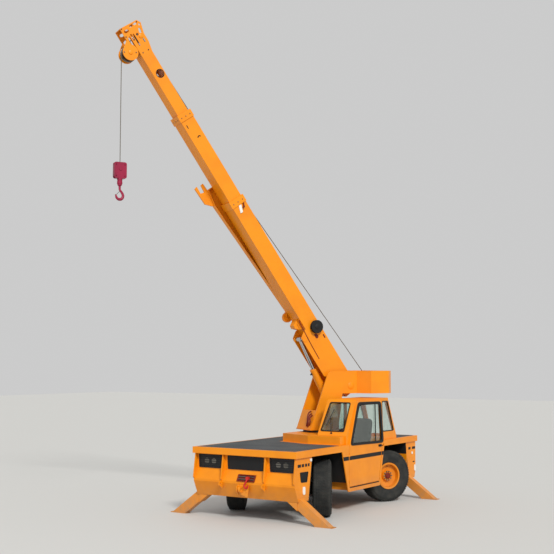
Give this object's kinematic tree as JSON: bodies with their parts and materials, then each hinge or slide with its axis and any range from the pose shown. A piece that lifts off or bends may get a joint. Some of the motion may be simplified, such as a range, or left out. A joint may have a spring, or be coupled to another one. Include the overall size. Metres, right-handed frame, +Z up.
{
  "type": "mobile crane",
  "caption": "Carry-deck mobile crane: flat steered chassis with a side cab, slewing turret and counterweight, telescoping box boom on a lift cylinder, hoist rope with hook block, slanting outriggers",
  "frame": {"origin": "floor level, middle of the bounding box", "axes": "+Z up, front of the chassis faces -Y, machine's left (cab side) is +X"},
  "size_m": [4.3662, 6.421, 9.9831],
  "materials": {
    "orange_paint": "gloss",
    "deck_paint": "matt",
    "black_paint": "satin",
    "red_paint": "gloss",
    "rim_paint": "gloss",
    "bare_steel": "worn",
    "rod_chrome": "polished",
    "cast": "rough",
    "tyre_rubber": "dusty",
    "cab_glass": "clear",
    "seat_vinyl": "matt",
    "wire_rope": "greased"
  },
  "bodies": {
    "chassis": {"chassis_frame": "black_paint", "slew_bearing": "cast", "deck": "orange_paint", "platform": "orange_paint", "tread_plates": "deck_paint", "front_box": "orange_paint", "rear_box": "orange_paint", "left_panel": "orange_paint", "right_panel": "orange_paint", "fuel_tank": "orange_paint", "engine": "cast", "cab_shell": "orange_paint", "cab_glass": "cab_glass", "seat": "seat_vinyl", "steering_column": "black_paint", "front_axle": "black_paint", "rear_axle": "black_paint"},
    "cab_door": {"cab_door": "orange_paint", "door_glass": "cab_glass"},
    "turret": {"turret": "orange_paint", "counterweight": "orange_paint", "winch": "bare_steel", "turret_pins": "bare_steel"},
    "lift_barrel": {"lift_barrel": "orange_paint"},
    "lift_rod": {"lift_rod": "rod_chrome"},
    "boom_base": {"boom_base": "orange_paint", "stowed_jib": "orange_paint", "hose_reel": "black_paint"},
    "boom_mid": {"boom_mid": "orange_paint"},
    "boom_tip": {"boom_tip": "orange_paint", "head_sheaves": "bare_steel"},
    "hoist_line": {"hoist_rope": "wire_rope"},
    "hook_block": {"hook_block": "red_paint"},
    "hook": {"hook": "red_paint"},
    "knuckle_front_left": {"knuckle_front_left": "cast"},
    "wheel_front_left": {"rim_front_left": "rim_paint", "tyre_front_left": "tyre_rubber"},
    "outrigger_front_left": {"outrigger_front_left": "orange_paint"},
    "knuckle_front_right": {"knuckle_front_right": "cast"},
    "wheel_front_right": {"rim_front_right": "rim_paint", "tyre_front_right": "tyre_rubber"},
    "outrigger_front_right": {"outrigger_front_right": "orange_paint"},
    "knuckle_rear_left": {"knuckle_rear_left": "cast"},
    "wheel_rear_left": {"rim_rear_left": "rim_paint", "tyre_rear_left": "tyre_rubber"},
    "outrigger_rear_left": {"outrigger_rear_left": "orange_paint"},
    "knuckle_rear_right": {"knuckle_rear_right": "cast"},
    "wheel_rear_right": {"rim_rear_right": "rim_paint", "tyre_rear_right": "tyre_rubber"},
    "outrigger_rear_right": {"outrigger_rear_right": "orange_paint"}
  },
  "joints": [
    {"name": "steer_front_left", "type": "hinge", "parent": "chassis", "child": "knuckle_front_left", "pos_m": [1.15709, -0.72946, 0.555], "axis": [0, 0, 1], "range_deg": [-59, 1]},
    {"name": "spin_front_left", "type": "hinge", "parent": "knuckle_front_left", "child": "wheel_front_left", "pos_m": [1.15709, -0.72946, 0.555], "axis": [0.8746, 0.4848, 0], "continuous": true},
    {"name": "steer_front_right", "type": "hinge", "parent": "chassis", "child": "knuckle_front_right", "pos_m": [-0.58291, -0.72946, 0.555], "axis": [0, 0, 1], "range_deg": [-59, 1]},
    {"name": "spin_front_right", "type": "hinge", "parent": "knuckle_front_right", "child": "wheel_front_right", "pos_m": [-0.58291, -0.72946, 0.555], "axis": [-0.8746, -0.4848, 0], "continuous": true},
    {"name": "steer_rear_left", "type": "hinge", "parent": "chassis", "child": "knuckle_rear_left", "pos_m": [1.15709, 2.08054, 0.555], "axis": [0, 0, 1], "range_deg": [-2, 58]},
    {"name": "spin_rear_left", "type": "hinge", "parent": "knuckle_rear_left", "child": "wheel_rear_left", "pos_m": [1.15709, 2.08054, 0.555], "axis": [0.8829, -0.4695, 0], "continuous": true},
    {"name": "steer_rear_right", "type": "hinge", "parent": "chassis", "child": "knuckle_rear_right", "pos_m": [-0.58291, 2.08054, 0.555], "axis": [0, 0, 1], "range_deg": [-2, 58]},
    {"name": "spin_rear_right", "type": "hinge", "parent": "knuckle_rear_right", "child": "wheel_rear_right", "pos_m": [-0.58291, 2.08054, 0.555], "axis": [-0.8829, 0.4695, 0], "continuous": true},
    {"name": "door", "type": "hinge", "parent": "chassis", "child": "cab_door", "pos_m": [1.50209, 0.01054, 1], "axis": [0, 0, -1], "range_deg": [0, 80]},
    {"name": "stand_front_left", "type": "slide", "parent": "chassis", "child": "outrigger_front_left", "axis": [-0.809, 0, 0.5878], "range_m": [0, 0.42]},
    {"name": "stand_front_right", "type": "slide", "parent": "chassis", "child": "outrigger_front_right", "axis": [0.809, 0, 0.5878], "range_m": [0, 0.42]},
    {"name": "stand_rear_left", "type": "slide", "parent": "chassis", "child": "outrigger_rear_left", "axis": [-0.809, 0, 0.5878], "range_m": [0, 0.42]},
    {"name": "stand_rear_right", "type": "slide", "parent": "chassis", "child": "outrigger_rear_right", "axis": [0.809, 0, 0.5878], "range_m": [0, 0.42]},
    {"name": "slew", "type": "hinge", "parent": "chassis", "child": "turret", "pos_m": [0.23709, 0.93154, 1.53], "axis": [0, 0, -1], "continuous": true},
    {"name": "luff", "type": "hinge", "parent": "turret", "child": "boom_base", "pos_m": [0.55029, 1.48737, 2.52], "axis": [-0.8712, 0.4909, 0], "range_deg": [-55.2, 19.8]},
    {"name": "lift_barrel_swing", "type": "hinge", "parent": "turret", "child": "lift_barrel", "pos_m": [0.35982, 1.14934, 2.134], "axis": [-0.8712, 0.4909, 0], "range_deg": [-56.2, 20.8]},
    {"name": "lift_rod_slide", "type": "slide", "parent": "lift_barrel", "child": "lift_rod", "axis": [-0.2209, -0.392, 0.8931], "range_m": [-0.4797, 0.1753]},
    {"name": "extend_mid", "type": "slide", "parent": "boom_base", "child": "boom_mid", "axis": [-0.2802, -0.4972, 0.8211], "range_m": [-1.85, 0]},
    {"name": "extend_tip", "type": "slide", "parent": "boom_mid", "child": "boom_tip", "axis": [-0.2802, -0.4972, 0.8211], "range_m": [-1.301, 0.001]},
    {"name": "hoist_line_hang", "type": "hinge", "parent": "boom_tip", "child": "hoist_line", "pos_m": [-1.93944, -2.93119, 9.2916], "axis": [-0.8712, 0.4909, 0], "range_deg": [-20.8, 56.2]},
    {"name": "hoist", "type": "slide", "parent": "hoist_line", "child": "hook_block", "axis": [0, 0, -1], "range_m": [-1.6, 0], "deforming": ["hoist_rope"]},
    {"name": "hook_swivel", "type": "hinge", "parent": "hook_block", "child": "hook", "pos_m": [-2.0121, -3.06013, 6.711], "axis": [0, 0, -1], "continuous": true}
  ],
  "couplings": [
    {"joint": "steer_front_right", "follows": "steer_front_left", "ratio": 1},
    {"joint": "steer_rear_right", "follows": "steer_rear_left", "ratio": 1},
    {"joint": "lift_barrel_swing", "follows": "luff", "ratio": 1},
    {"joint": "lift_rod_slide", "follows": "luff", "m_per_rad": 0.49274},
    {"joint": "extend_tip", "follows": "extend_mid", "ratio": 0.7027},
    {"joint": "hoist_line_hang", "follows": "luff", "ratio": -1}
  ]
}
